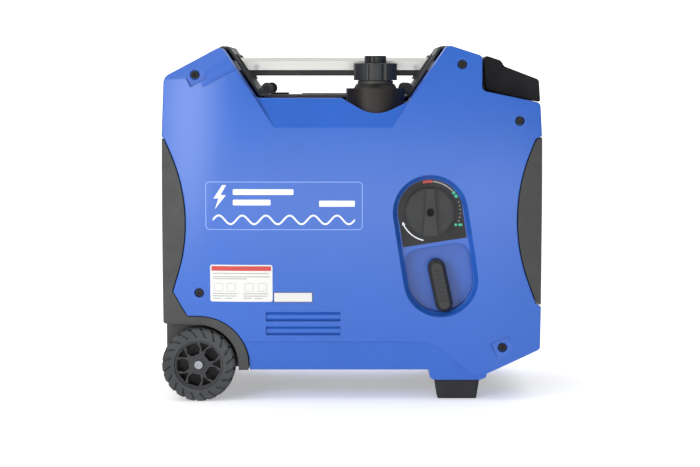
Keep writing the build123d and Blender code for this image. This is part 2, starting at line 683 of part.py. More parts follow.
# ---------------------------------------------------------------- fuel filler
filler_plane = Plane.XY.move(Location((FILLER_X, FILLER_Y, 0)))
DRUM_LOW = 427.5
with BuildPart() as filler_surround:
    add(rod(filler_plane, DRUM_R, DRUM_LOW, DRUM_TOP))
    add(rod(filler_plane, DRUM_R - 4.2, DRUM_LOW - 1, DRUM_TOP - 3), mode=Mode.SUBTRACT)
    with BuildSketch(filler_plane.offset(DRUM_TOP)):
        Circle(32.5)
    extrude(amount=6.5, taper=30)
    add(rod(filler_plane, 27.2, DRUM_TOP - 4, DRUM_TOP + 7.5), mode=Mode.SUBTRACT)
finish(filler_surround.part, "filler_surround")

LOBES = 8
with BuildPart() as fuel_cap:
    with BuildSketch(filler_plane.offset(CAP_Z)):
        Circle(CAP_R)
        with PolarLocations(CAP_R + 2.2, LOBES, start_angle=22.5):
            Circle(4.4, mode=Mode.SUBTRACT)
    extrude(amount=CAP_TOP - CAP_Z)
    fillet(fuel_cap.faces().sort_by(Axis.Z)[-1].edges(), 1.5)
    with BuildSketch(filler_plane.offset(CAP_Z)):
        Circle(CORE_R + RUN_FIT)
    extrude(amount=20, mode=Mode.SUBTRACT)
    add(rod(filler_plane, 5, CAP_TOP - 1, 516.0))
finish(fuel_cap.part, "fuel_cap")

with BuildPart() as fuel_cap_core:
    add(ring(filler_plane, CORE_R, NECK_R + RUN_FIT, CAP_Z, 493))
    add(rod(filler_plane, CORE_R, 493, CAP_Z + 19.7))
finish(fuel_cap_core.part, "fuel_cap_core")

with BuildPart() as fuel_cap_vent_lever:
    with BuildSketch(filler_plane.offset(CAP_TOP + 0.3)):
        Circle(16.5)
        with PolarLocations(16.8, 2, start_angle=70):
            Circle(5.5, mode=Mode.SUBTRACT)
        Circle(5 + RUN_FIT, mode=Mode.SUBTRACT)
    extrude(amount=10.9)
    fillet(fuel_cap_vent_lever.edges().group_by(Axis.Z)[-1].sort_by(SortBy.LENGTH)[1:], 1)
finish(fuel_cap_vent_lever.part, "fuel_cap_vent_lever")


# ---------------------------------------------------------------- fuel dial and recoil starter
PLATE_T = 1.5
PLATE_LOW = 46.5  # lower straight edge of the dial plate, below its centre
with BuildPart() as dial_plate:
    with BuildSketch(POCKET_PLANE.offset(-POCKET_DEPTH)):
        Circle(48.3)
        with Locations((PLATE_LOW / 2, 0)):
            Rectangle(PLATE_LOW, 2 * 47.9)
        Circle(12, mode=Mode.SUBTRACT)
        with Locations((PLATE_LOW + 5, 0)):
            Rectangle(10, 100, mode=Mode.SUBTRACT)
    extrude(amount=PLATE_T)
finish(dial_plate.part, "dial_plate")

KNOB_BACK = PLATE_T + 0.4 - POCKET_DEPTH
with BuildPart() as fuel_dial_knob:
    with BuildSketch(POCKET_PLANE.offset(KNOB_BACK)):
        Circle(KNOB_R)
    extrude(amount=4.5)
    with BuildSketch(POCKET_PLANE.offset(KNOB_BACK)):
        Circle(KNOB_R - 2.5)
    extrude(amount=6)
    dish = Plane(origin=(DIAL_X, -HALF_WIDTH, DIAL_Z), x_dir=(1, 0, 0), z_dir=(0, -1, 0))
    with BuildSketch(dish.offset(KNOB_BACK)):
        with BuildLine():
            Polyline((-5.7, 35.2), (5.7, 35.2), (11, -35.2), (-11, -35.2), close=True)
        make_face()
    extrude(amount=-KNOB_BACK - KNOB_TOP)
    with BuildSketch(POCKET_PLANE.offset(-KNOB_TOP)):
        Circle(6)
    extrude(amount=-8, mode=Mode.SUBTRACT)
    add(rod(along_y(DIAL_X, DIAL_Z), VALVE_SHAFT_R, -HALF_WIDTH - KNOB_BACK - 2, -131))
finish(fuel_dial_knob.part, "fuel_dial_knob")

with BuildPart() as fuel_valve:
    add(rod(along_y(DIAL_X, DIAL_Z), 14, -130.5, -110))
    add(block((DIAL_X - 20, DIAL_X + 12), (-126, -112), (DIAL_Z - 12, DIAL_Z + 12), 3))
    add(rod(Plane.XY.move(Location((DIAL_X - 12, -119, 0))), 4, DIAL_Z + 12, DIAL_Z + 26))
finish(fuel_valve.part, "fuel_valve")

with BuildPart() as fuel_hose:
    add(ring(Plane.XY.move(Location((DIAL_X - 12, -119, 0))), 6.5, 4, DIAL_Z + 14, TANK_LOW - 4))
finish(fuel_hose.part, "fuel_hose")

GRIP_BACK = -28.0
GRIP_FRONT = -5.0
with BuildPart() as recoil_grip:
    with BuildSketch(GRIP_PLANE.offset(GRIP_BACK)):
        SlotOverall(80, 26)
    extrude(amount=GRIP_FRONT - GRIP_BACK)
    chamfer(recoil_grip.faces().sort_by(Axis.Y)[0].edges(), 5)
    fillet(recoil_grip.faces().sort_by(Axis.Y)[0].edges(), 1.2)
    add(rod(along_y(REEL_X, GRIP_Z), 5.5, -HALF_WIDTH - GRIP_BACK - 1, -131.4))
    add(rod(along_y(REEL_X, GRIP_Z), ROPE_R, -145, -120), mode=Mode.SUBTRACT)
finish(recoil_grip.part, "recoil_grip")

with BuildPart() as recoil_rope:
    add(rod(along_y(REEL_X, GRIP_Z), ROPE_R, -145, -4))
finish(recoil_rope.part, "recoil_rope")

with BuildPart() as rope_guide:
    add(ring(along_y(REEL_X, GRIP_Z), ROPE_HOLE_R, ROPE_R + 0.35, -131, -126))
    add(ring(along_y(REEL_X, GRIP_Z), 9, ROPE_R + 0.35, -128, -125))
finish(rope_guide.part, "rope_guide")

crank_axis = along_x(0, CRANK_Z)
HOUSING_R = 62.0
SHROUD_FRONT = 122.0
REEL_BORE_R = 8.0
with BuildPart() as recoil_pulley:
    add(rod(crank_axis, REEL_R - ROPE_R - 0.1, 127.5, 146))
    add(rod(crank_axis, 50, 126, 128))
    add(rod(crank_axis, 50, 145, 147))
    add(rod(crank_axis, REEL_BORE_R + RUN_FIT, 120, 150), mode=Mode.SUBTRACT)
    with BuildSketch(crank_axis.offset(120)):
        with PolarLocations(24, 6):
            Circle(6)
    extrude(amount=30, mode=Mode.SUBTRACT)
    for x in (136.4, 141.2):
        with BuildSketch(Plane.XZ):
            with Locations((x, CRANK_Z - REEL_R)):
                Circle(ROPE_R)
        revolve(axis=Axis((0, 0, CRANK_Z), (1, 0, 0)))
finish(recoil_pulley.part, "recoil_pulley")

with BuildPart() as recoil_housing:
    add(ring(crank_axis, HOUSING_R, HOUSING_R - 2.5, SHROUD_FRONT, 153))
    add(rod(crank_axis, HOUSING_R, 150, 153))
    with BuildSketch(crank_axis.offset(150)):
        with PolarLocations(38, 8):
            RectangleRounded(26, 9, 3)
    extrude(amount=3, mode=Mode.SUBTRACT)
    add(rod(crank_axis, REEL_BORE_R, 126, 150))
    add(rod(along_y(REEL_X, GRIP_Z), 5, -80, 0), mode=Mode.SUBTRACT)
finish(recoil_housing.part, "recoil_housing")


# ---------------------------------------------------------------- engine and alternator
with BuildPart() as fan_shroud:
    add(ring(crank_axis, 101, 98.5, 52, SHROUD_FRONT))
    add(ring(crank_axis, 99, 57, SHROUD_FRONT - 2.5, SHROUD_FRONT))
    with BuildSketch(crank_axis.offset(SHROUD_FRONT - 3)):
        with PolarLocations(81, 20):
            RectangleRounded(24, 7, 3)
    extrude(amount=4, mode=Mode.SUBTRACT)
finish(fan_shroud.part, "fan_shroud")

BLADES = 16
with BuildPart() as cooling_fan:
    add(rod(crank_axis, 90, 93, 96))
    add(ring(crank_axis, 34, 28, 96, 117))
    with BuildSketch(crank_axis.offset(96)):
        with PolarLocations(62, BLADES):
            Rectangle(54, 2.2, rotation=14)
    extrude(amount=19)
    add(rod(crank_axis, CRANK_R, 90, 120), mode=Mode.SUBTRACT)
finish(cooling_fan.part, "cooling_fan")

with BuildPart() as rotor:
    add(ring(crank_axis, 88, 80, 54, 88))
    add(rod(crank_axis, 88, 85, 93))
    add(rod(crank_axis, CRANK_R, 80, 100), mode=Mode.SUBTRACT)
    with BuildSketch(crank_axis.offset(84)):
        with PolarLocations(50, 6):
            Circle(10)
    extrude(amount=10, mode=Mode.SUBTRACT)
finish(rotor.part, "rotor")

with BuildPart() as stator:
    add(ring(crank_axis, 48, 20, 52, 80))
    with BuildSketch(crank_axis.offset(54)):
        with PolarLocations(59, 18):
            Rectangle(30, 8)
        with PolarLocations(74, 18):
            Rectangle(6, 22)
    extrude(amount=24)
    with BuildSketch(crank_axis.offset(52.5)):
        with PolarLocations(59.5, 18):
            Rectangle(20, 14)
    extrude(amount=27)
finish(stator.part, "stator")

with BuildPart() as crankshaft:
    add(rod(crank_axis, CRANK_R, -70, 118))
    add(rod(crank_axis, 8, 118, 122))
finish(crankshaft.part, "crankshaft")

with BuildPart() as crankcase:
    add(block((-90, 46), (-70, 74), (104, 262), 12))
    fillet(crankcase.edges().group_by(Axis.Z)[-1], 10)
    add(block((-98, 54), (-82, 82), (96, 105), 8))
    add(rod(CYLINDER_PLANE, 48, 40, 84))
    add(rod(crank_axis, 60, 44, 52))
    add(ring(crank_axis, 19, CRANK_R, 50, 80))
    add(block((-78, 34), (-58, 62), (114, 250), 6), mode=Mode.SUBTRACT)
    add(rod(along_y(-70, 128), 5.4, 38, 90), mode=Mode.SUBTRACT)
    add(rod(crank_axis, CRANK_R + RUN_FIT, -76, 100), mode=Mode.SUBTRACT)
finish(crankcase.part, "crankcase")

FIN_START = 84.5
with BuildPart() as cylinder:
    add(rod(CYLINDER_PLANE, 38, FIN_START - 0.5, 130))
    for fin in range(6):
        with BuildSketch(CYLINDER_PLANE.offset(FIN_START + 7.5 * fin)):
            RectangleRounded(96, 84, 14)
        extrude(amount=2.6)
    with BuildSketch(CYLINDER_PLANE.offset(130)):
        RectangleRounded(88, 66, 8)
    extrude(amount=3)
finish(cylinder.part, "cylinder")

with BuildPart() as rocker_cover:
    with BuildSketch(CYLINDER_PLANE.offset(133)):
        RectangleRounded(84, 60, 10)
    extrude(amount=19)
    fillet(rocker_cover.faces().sort_by(Axis((0, 0, 0), CYLINDER_PLANE.z_dir))[-1].edges(), 6)
finish(rocker_cover.part, "rocker_cover")

plug_plane = Plane(origin=(-20, 96, 225), x_dir=(1, 0, 0), z_dir=(0, 0.5, -0.866))
with BuildPart() as spark_plug:
    add(rod(plug_plane, 9, 12, 26))
    add(rod(plug_plane, 6, 26, 44))
finish(spark_plug.part, "spark_plug")

with BuildPart() as oil_dipstick:
    add(rod(along_y(-70, 128), 5, 40, 100))
    add(rod(along_y(-70, 128), 13, 74.3, 84))
    add(block((-71.5, -68.5), (84, 94), (119, 137)))
finish(oil_dipstick.part, "oil_dipstick")

with BuildPart() as carburettor:
    add(block((28, 60), (97, 127), (268, 298), 4))
    add(rod(Plane.XY.move(Location((43, 112, 0))), 14, 298, 324))
    add(rod(Plane.XY.move(Location((43, 112, 0))), 12, 252, 268))
finish(carburettor.part, "carburettor")

with BuildPart() as air_cleaner:
    add(block((30, 155), (20, 140), (324, 351), 12))
    fillet(air_cleaner.faces().sort_by(Axis.Z)[-1].edges(), 4)
finish(air_cleaner.part, "air_cleaner")

MUFFLER_X = (-222.0, -112.0)
with BuildPart() as muffler:
    with BuildSketch(Plane.YZ.offset(MUFFLER_X[0])):
        with Locations((26, 256)):
            RectangleRounded(192, 132, 30)
    extrude(amount=MUFFLER_X[1] - MUFFLER_X[0])
    fillet(muffler.edges().filter_by(Plane.YZ), 8)
    with BuildPart(mode=Mode.PRIVATE) as chamber:
        with BuildSketch(Plane.YZ.offset(MUFFLER_X[0] + 4)):
            with Locations((26, 256)):
                RectangleRounded(184, 124, 26)
        extrude(amount=MUFFLER_X[1] - MUFFLER_X[0] - 8)
    add(chamber.part, mode=Mode.SUBTRACT)
    add(rod(along_x(106, 272), 12, MUFFLER_X[1] - 5, -68))
    add(rod(along_x(TAIL_Y, TAIL_Z), TAIL_R, -284.5, MUFFLER_X[0] + 3))
    add(rod(along_x(TAIL_Y, TAIL_Z), TAIL_R - 2, -285, MUFFLER_X[0] + 10), mode=Mode.SUBTRACT)
finish(muffler.part, "muffler")


# ---------------------------------------------------------------- fuel tank
TANK_SHOULDER = 424.0
with BuildPart() as fuel_tank:
    add(block((-150, 152), (-132, 132), (TANK_LOW, TANK_SHOULDER), 20))
    fillet(fuel_tank.edges().group_by(Axis.Z)[-1], 10)
    fillet(fuel_tank.edges().group_by(Axis.Z)[0], 8)
    add(block((-125, 135), (-45, 78), (TANK_SHOULDER - 1, 446), 12))
    add(rod(filler_plane, 26.75, TANK_SHOULDER - 1, CAP_Z - 0.4))
    add(rod(filler_plane, NECK_R, CAP_Z - 0.4, NECK_TOP))
    with BuildPart(mode=Mode.PRIVATE) as fuel_space:
        add(block((-146, 148), (-128, 128), (TANK_LOW + 4, TANK_SHOULDER - 5), 16))
        add(block((-121, 131), (-41, 74), (TANK_SHOULDER - 6, 442), 8))
        add(rod(filler_plane, NECK_BORE_R, TANK_SHOULDER - 6, NECK_TOP + 1))
    add(fuel_space.part, mode=Mode.SUBTRACT)
    add(rod(Plane.XY.move(Location((DIAL_X - 12, -119, 0))), 4, TANK_LOW - 10, TANK_LOW + 4.2))
finish(fuel_tank.part, "fuel_tank")


# ---------------------------------------------------------------- tray, mounts, feet and wheels
TRAY_TOP = 49.0
axle_line = along_y(WHEEL_X, WHEEL_R)
MOUNT_PLACES = [(-78, -64), (-78, 64), (34, -64), (34, 64)]
with BuildPart() as base_tray:
    add(side_band(TRAY_PATH, CENTRE_Y, WALL))
    for x, y in MOUNT_PLACES:
        add(block((x - 20, x + 20), (y - 18, y + 18), (TRAY_TOP - 1, 66), 6))
    for y in (-75, 63):
        add(block((WHEEL_X - 12, WHEEL_X + 12), (y, y + 12), (TRAY_TOP - 1, 68), 3))
    add(rod(axle_line, AXLE_R, -HALF_WIDTH, HALF_WIDTH), mode=Mode.SUBTRACT)
    add(block((83, 114), (-CENTRE_Y, -CENTRE_Y + 40), (42.2, 46.5)))
finish(base_tray.part, "base_tray")

with BuildPart() as engine_mounts:
    for x, y in MOUNT_PLACES:
        mount_plane = Plane.XY.move(Location((x, y, 0)))
        add(rod(mount_plane, 15, 66, 96))
        add(ring(mount_plane, 17, 12, 66, 69))
        add(ring(mount_plane, 17, 12, 93, 96))
finish(engine_mounts.part, "engine_mounts")

FOOT_TOP = (68.3, 52.0)
with BuildPart() as rubber_feet:
    with BuildPart(mode=Mode.PRIVATE) as foot:
        with BuildSketch(Plane.XY.offset(PEDESTAL_Z)):
            with Locations((157.7, -114)):
                RectangleRounded(FOOT_TOP[0], FOOT_TOP[1], 8)
        extrude(amount=-PEDESTAL_Z, taper=9)
        fillet(foot.faces().sort_by(Axis.Z)[0].edges(), 1.5)
    add(full_width(foot.part))
finish(rubber_feet.part, "rubber_feet")

wheel_plane = Plane(origin=(WHEEL_X, 0, WHEEL_R), x_dir=(1, 0, 0), z_dir=(0, -1, 0))
SPOKE_TURN = 38.5
SPOKE_HOLE = [(15, -6), (15, 6), (22, 10.5), (32.5, 8), (32.5, -8), (22, -10.5)]
RIM_HOLE = [(19.5, 0), (32.5, 7.5), (32.5, -7.5)]
with BuildPart() as rim:
    add(ring(wheel_plane, RIM_R, RIM_R - 3, 129, 158))
    with BuildSketch(wheel_plane.offset(147)):
        Circle(RIM_R - 2.5)
        with PolarLocations(0, 5, start_angle=SPOKE_TURN):
            Polygon(*SPOKE_HOLE, align=None, mode=Mode.SUBTRACT)
        with PolarLocations(0, 5, start_angle=SPOKE_TURN - 36):
            Polygon(*RIM_HOLE, align=None, mode=Mode.SUBTRACT)
    extrude(amount=8)
    with BuildSketch(wheel_plane.offset(131)):
        Circle(RIM_R - 2.5)
    extrude(amount=2)
    add(rod(wheel_plane, HUB_R, 125, AXLE_END - 0.4))
    add(rod(wheel_plane, AXLE_R + RUN_FIT, 120, 160), mode=Mode.SUBTRACT)

LUGS = 20
with BuildPart() as tyre:
    add(ring(wheel_plane, WHEEL_R, RIM_R, TYRE_IN, TYRE_OUT))
    fillet(tyre.edges().filter_by(GeomType.CIRCLE).sort_by(SortBy.LENGTH)[-2:], 5)
    for start, turn in ((TYRE_IN - 1, 0), (TYRE_OUT - 13, 9)):
        with BuildSketch(wheel_plane.offset(start)):
            with PolarLocations(WHEEL_R, LUGS, start_angle=turn + 4):
                Rectangle(6, 5)
        extrude(amount=14, mode=Mode.SUBTRACT)
    with BuildSketch(wheel_plane.offset(TYRE_OUT - 3)):
        with PolarLocations(WHEEL_R - 7, LUGS, start_angle=8):
            Rectangle(14, 3.2, rotation=34)
    extrude(amount=4, mode=Mode.SUBTRACT)

finish(rim.part, "rim_starter_side")
finish(tyre.part, "tyre_starter_side")
finish(mirror(rim.part, about=Plane.XZ), "rim_service_side")
finish(mirror(tyre.part, about=Plane.XZ), "tyre_service_side")

with BuildPart() as wheel_axle:
    add(rod(axle_line, AXLE_R, -AXLE_END, AXLE_END))
    add(full_width(rod(axle_line, 6.1, AXLE_END, AXLE_END + 4)))
    with BuildSketch(Plane.XZ.offset(AXLE_END + 4), Plane.XZ.offset(-AXLE_END - 4)):
        with Locations((WHEEL_X, WHEEL_R)):
            RegularPolygon(3, 6)
    extrude(amount=2, both=True, mode=Mode.SUBTRACT)
finish(wheel_axle.part, "wheel_axle")


# ---------------------------------------------------------------- control panel and power electronics
with BuildPart() as inverter_module:
    add(block((170, 258), (-98, 98), (82, 142), 4))
    for fin in range(16):
        add(block((174, 254), (-91 + 12 * fin, -88.5 + 12 * fin), (141, 160)))
    add(block((172, 204), (-80, 80), (TRAY_TOP, 83)))
finish(inverter_module.part, "inverter_module")

START_BUTTON = (76.0, 345.0, 11.0)  # y, z and radius
BREAKER_BUTTON = (DC_SOCKET_Y, 262.0, 5.5)
ROCKER_Y = 32.0
ROCKER_Z = 345.0
EARTH_Y = -100.0
EARTH_Z = 229.0
BEZEL_X = 275.5
AC_BODY = 44.0
DC_BODY_R = 14.0
PLUNGER_GAP = 0.35
with BuildPart() as control_panel:
    add(block((PANEL_X, PANEL_FACE), (0.4 - PANEL_Y, PANEL_Y - 0.4), (PANEL_BOTTOM + 0.4, PANEL_TOP - 0.4)))
    for y, z, r in (START_BUTTON, BREAKER_BUTTON):
        add(rod(along_x(y, z), r + 4, PANEL_X, BEZEL_X))
        add(rod(along_x(y, z), r + PLUNGER_GAP, 250, 280), mode=Mode.SUBTRACT)
    add(block((PANEL_X, BEZEL_X), (ROCKER_Y - 11, ROCKER_Y + 11), (ROCKER_Z - 17, ROCKER_Z + 17)))
    rocker_y_range = (ROCKER_Y - 7.5, ROCKER_Y + 7.5)
    add(block((250, 280), rocker_y_range, (ROCKER_Z - 13.5, ROCKER_Z + 13.5)), mode=Mode.SUBTRACT)
    for y in AC_SOCKET_Y:
        half = AC_BODY / 2
        add(block((250, 280), (y - half, y + half), (SOCKET_Z - half, SOCKET_Z + half)), mode=Mode.SUBTRACT)
    add(rod(along_x(DC_SOCKET_Y, SOCKET_Z), DC_BODY_R, 250, 280), mode=Mode.SUBTRACT)
    add(rod(along_x(EARTH_Y, EARTH_Z), 3, 250, 280), mode=Mode.SUBTRACT)
    add(block((PANEL_FACE - 1.5, 280), (-88, -16), (328, 364)), mode=Mode.SUBTRACT)
finish(control_panel.part, "control_panel")

with BuildPart() as display_lens:
    add(block((PANEL_FACE - 1.5, PANEL_FACE + 0.8), (-87.7, -16.3), (328.3, 363.7)))
finish(display_lens.part, "display_lens")

HINGE_X = 277.4
HINGE_Z = SOCKET_Z + 31
HINGE_R = 2.3
hinge_line = along_y(HINGE_X, HINGE_Z)
FLANGE_X = 275.0
with BuildPart() as panel_sockets:
    for y in AC_SOCKET_Y:
        half = AC_BODY / 2
        with BuildPart(mode=Mode.PRIVATE) as ac_socket:
            add(block((238, FLANGE_X), (y - half, y + half), (SOCKET_Z - half, SOCKET_Z + half)))
            add(block((PANEL_FACE, FLANGE_X), (y - 27, y + 27), (SOCKET_Z - 27, SOCKET_Z + 33.5)))
            for start in (y - 20, y + 12.3):
                add(rod(hinge_line, HINGE_R, start, start + 7.7))
                add(block((FLANGE_X - 1, HINGE_X), (start, start + 7.7), (HINGE_Z - 1.5, HINGE_Z + 1.5)))
            add(rod(along_x(y, SOCKET_Z), 19.8, 255, 280), mode=Mode.SUBTRACT)
            with BuildSketch(Plane.YZ.offset(245)):
                with Locations((y - 9.5, SOCKET_Z), (y + 9.5, SOCKET_Z)):
                    Circle(2.5)
            extrude(amount=11, mode=Mode.SUBTRACT)
        add(ac_socket.part)
    add(rod(along_x(DC_SOCKET_Y, SOCKET_Z), DC_BODY_R, 240, FLANGE_X))
    add(ring(along_x(DC_SOCKET_Y, SOCKET_Z), 19, DC_BODY_R, PANEL_FACE, FLANGE_X + 2))
    add(rod(along_x(DC_SOCKET_Y, SOCKET_Z), 10.5, 250, 280), mode=Mode.SUBTRACT)
finish(panel_sockets.part, "panel_sockets")

for number, y in enumerate(AC_SOCKET_Y, start=1):
    with BuildPart() as socket_cover:
        add(block((275.9, 278.7), (y - 26, y + 26), (SOCKET_Z - 26, SOCKET_Z + 26), 0))
        fillet(socket_cover.edges().filter_by(Axis.X), 5)
        fillet(socket_cover.faces().sort_by(Axis.X)[-1].edges(), 0.8)
        add(block((275.9, 278.7), (y - 11.5, y + 11.5), (SOCKET_Z + 25, HINGE_Z)))
        add(rod(hinge_line, HINGE_R, y - 11.9, y + 11.9))
        add(block((278, 280.2), (y - 9, y + 9), (SOCKET_Z - 24, SOCKET_Z - 20)))
    finish(socket_cover.part, f"socket_cover_{number}")

for name, (y, z, r) in (("start_button", START_BUTTON), ("breaker_button", BREAKER_BUTTON)):
    with BuildPart() as button:
        add(rod(along_x(y, z), r, 262, BEZEL_X + 4))
        fillet(button.faces().sort_by(Axis.X)[-1].edges(), 1.2)
        add(rod(along_x(y, z), r + 2, 260, 263.5))
    finish(button.part, name)

ROCKER_TILT = 7.0
with BuildPart() as eco_rocker:
    with BuildSketch(Plane.XZ.offset(-ROCKER_Y - 7)):
        with Locations(Location((273, ROCKER_Z, 0), ROCKER_TILT)):
            Polygon((-10, -4), (-10, 4), (-3, 12), (4, 12), (2.4, 0), (4, -12), (-3, -12), align=None)
    extrude(amount=14)
    add(rod(along_y(273, ROCKER_Z), 2, ROCKER_Y - 7.3, ROCKER_Y + 7.3))
finish(eco_rocker.part, "eco_rocker")

with BuildPart() as earth_terminal:
    add(rod(along_x(EARTH_Y, EARTH_Z), 3, 256, 284))
    add(rod(along_x(EARTH_Y, EARTH_Z), 4, 281, 285.5))
    with BuildSketch(along_x(EARTH_Y, EARTH_Z).offset(PANEL_FACE)):
        Circle(9.5)
        with PolarLocations(10.5, 8):
            Circle(2.2, mode=Mode.SUBTRACT)
    extrude(amount=9)
    with BuildSketch(along_x(EARTH_Y, EARTH_Z).offset(263)):
        RegularPolygon(6, 6)
    extrude(amount=5)
finish(earth_terminal.part, "earth_terminal")
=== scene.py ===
"""Looks of the inverter generator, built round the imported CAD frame. Metres, in the frame's axes."""

import json
import math

import bmesh
import bpy
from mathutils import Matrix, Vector


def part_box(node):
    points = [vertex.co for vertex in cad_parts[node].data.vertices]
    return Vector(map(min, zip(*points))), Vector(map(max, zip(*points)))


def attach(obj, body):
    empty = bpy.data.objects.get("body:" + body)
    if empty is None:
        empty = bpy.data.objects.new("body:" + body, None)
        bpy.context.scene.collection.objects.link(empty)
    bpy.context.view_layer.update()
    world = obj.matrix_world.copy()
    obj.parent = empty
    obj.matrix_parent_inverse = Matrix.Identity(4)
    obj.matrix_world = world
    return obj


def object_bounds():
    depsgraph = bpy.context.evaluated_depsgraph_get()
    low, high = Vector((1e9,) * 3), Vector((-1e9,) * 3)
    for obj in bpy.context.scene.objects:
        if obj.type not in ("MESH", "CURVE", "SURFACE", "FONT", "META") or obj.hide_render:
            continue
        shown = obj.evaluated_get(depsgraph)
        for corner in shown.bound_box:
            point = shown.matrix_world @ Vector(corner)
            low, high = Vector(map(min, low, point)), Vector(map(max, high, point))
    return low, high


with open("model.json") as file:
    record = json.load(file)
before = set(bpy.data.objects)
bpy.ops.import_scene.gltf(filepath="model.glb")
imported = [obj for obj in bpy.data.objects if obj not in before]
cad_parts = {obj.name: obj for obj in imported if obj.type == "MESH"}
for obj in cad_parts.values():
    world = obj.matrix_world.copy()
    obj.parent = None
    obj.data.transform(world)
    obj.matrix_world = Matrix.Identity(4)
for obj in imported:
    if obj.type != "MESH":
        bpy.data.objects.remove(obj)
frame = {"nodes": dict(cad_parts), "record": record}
cad_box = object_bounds()
NODES = frame["nodes"]
SLOT_OF = {part["node"]: part["material_slot"] for part in frame["record"]["subparts"]}
MM = 0.001
SKIN = 0.2 * MM  # how far a printed mark stands off the surface under it
OUTSIDE = 0.1  # how far outside the CAD box a ray to its surface starts
for imported in list(bpy.data.materials):
    bpy.data.materials.remove(imported)


# ---------------------------------------------------------------- materials
class Shading:
    """One procedural material, and short ways to add and join its nodes."""

    def __init__(self, name):
        self.material = bpy.data.materials.new(name)
        self.material.use_nodes = True
        self.tree = self.material.node_tree
        self.shader = self.tree.nodes["Principled BSDF"]
        self.coords = self.tree.nodes.new("ShaderNodeTexCoord").outputs["Object"]

    def node(self, kind, inputs=None, **settings):
        """Adds a node; a socket among the inputs is linked, and any other value is set."""
        made = self.tree.nodes.new("ShaderNode" + kind)
        for key, value in settings.items():
            setattr(made, key, value)
        for key, value in (inputs or {}).items():
            if isinstance(value, bpy.types.NodeSocket):
                self.tree.links.new(value, made.inputs[key])
            else:
                made.inputs[key].default_value = value
        return made

    def noise(self, scale, detail=3.0, stretch=(1, 1, 1)):
        mapping = self.node("Mapping", {"Vector": self.coords, "Scale": stretch})
        sockets = {"Vector": mapping.outputs["Vector"], "Scale": scale, "Detail": detail}
        return self.node("TexNoise", sockets).outputs["Fac"]

    def remap(self, value, low, high, start=0.3, end=0.7):
        ends = {"Value": value, "From Min": start, "From Max": end, "To Min": low, "To Max": high}
        return self.node("MapRange", ends).outputs["Result"]

    def mix(self, factor, first, second):
        """Mixes two colours, each a socket or three numbers."""
        first, second = (c if isinstance(c, bpy.types.NodeSocket) else (*c, 1) for c in (first, second))
        return self.node("Mix", {0: factor, 6: first, 7: second}, data_type="RGBA").outputs[2]

    def set(self, **inputs):
        """Sets or links the main shader's inputs; an underscore in a name stands for a space."""
        for key, value in inputs.items():
            socket = self.shader.inputs[key.replace("_", " ")]
            if isinstance(value, bpy.types.NodeSocket):
                self.tree.links.new(value, socket)
            else:
                socket.default_value = value


def surface(name, colour, rough, grain, bump, edge=1.0, spread=0.1, metal=0.0, stretch=(1, 1, 1), worn=0.25,
            coat=0.0, specular=0.5, fade=None):
    """A moulded or machined surface: fine grain, uneven colour and gloss, and softened edges painted paler,
    as wear and, on some materials, as a highlight.

    rough is the lowest and highest roughness, grain the scale of the fine relief and bump its strength.
    edge is the radius of the softened edges in millimetres and spread how much the colour varies; the wear
    argument sets how pale the edges are painted, as wear and, when it is large, as a painted highlight. fade
    is an axis, two distances along it from the frame's origin, and the colour reached at the second one; on
    the wheel rim it is painted shade.
    """
    look = Shading(name)
    soft = look.node("Bevel", {"Radius": edge * MM}, samples=6).outputs["Normal"]
    true_normal = look.node("NewGeometry").outputs["Normal"]
    facing = look.node("VectorMath", {0: soft, 1: true_normal}, operation="DOT_PRODUCT").outputs["Value"]
    # Edges painted paler, as wear and, where the wear argument is large, as a painted highlight.
    rim = look.remap(facing, worn, 0.0, 0.86, 0.995)
    darker = [channel * (1 - spread) for channel in colour]
    lighter = [min(1.0, channel * (1 + spread)) for channel in colour]
    pale = [min(1.0, channel * 1.5 + 0.03) for channel in colour]
    body = look.mix(look.remap(look.noise(9.0, 4.0), 0.0, 1.0), darker, lighter)
    paint = look.mix(rim, body, pale)
    if fade:
        axis, start, end, far_colour = fade
        along = look.node("SeparateXYZ", {"Vector": look.coords}).outputs[axis]
        distance = look.node("Math", {0: along}, operation="ABSOLUTE").outputs["Value"]
        paint = look.mix(look.remap(distance, 0.0, 1.0, start, end), paint, far_colour)
    grain_height = look.noise(grain, 2.0, stretch)
    relief = {"Strength": bump, "Distance": 0.15 * MM, "Height": grain_height, "Normal": soft}
    look.set(
        Base_Color=paint,
        Roughness=look.remap(look.noise(38.0, 6.0, stretch), *rough),
        Normal=look.node("Bump", relief).outputs["Normal"],
        Metallic=metal,
        Coat_Weight=coat,
        Coat_Roughness=0.3,
        Specular_IOR_Level=specular,
    )
    return look.material


def moulded(name, colour, rough=(0.4, 0.55), grain=1500, bump=0.2, **more):
    """A moulded plastic or rubber."""
    return surface(name, colour, rough, grain, bump, **more)


def metal(name, colour, rough=(0.26, 0.4), grain=1000, bump=0.06, **more):
    """A bare or coated metal; stretch draws its grain out along an axis."""
    return surface(name, colour, rough, grain, bump, metal=1.0, **more)


def printed(name, colour):
    """Ink or a sticker's face."""
    return surface(name, colour, (0.36, 0.48), 2500, 0.03, edge=0.1, spread=0.03, worn=0.0)


# How noise is scaled along X, Y and Z; a small number draws it out.
ALONG_X = (0.04, 1, 1)
UPRIGHT = (1, 1, 0.06)
WOUND = (1, 0.1, 0.1)
LAID = (1, 0.3, 1)

# The rail screws lie above the cover's lug screws, and are bright where those are black.
rail_screw_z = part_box("handle_rails")[0].z - 11.4 * MM
RAIL_SCREWS_BRIGHT = ("Z", rail_screw_z, rail_screw_z + 3 * MM, (0.4, 0.4, 0.39))
# Painted shade: a wheel's rim is painted darker from its spokes to the web behind them, as shade deep in its
# holes.
rim_face_y = -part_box("rim_starter_side")[0].y
RIM_PAINTED_SHADE_INSIDE = ("Y", rim_face_y - 4 * MM, rim_face_y - 18 * MM, (0.002, 0.002, 0.002))

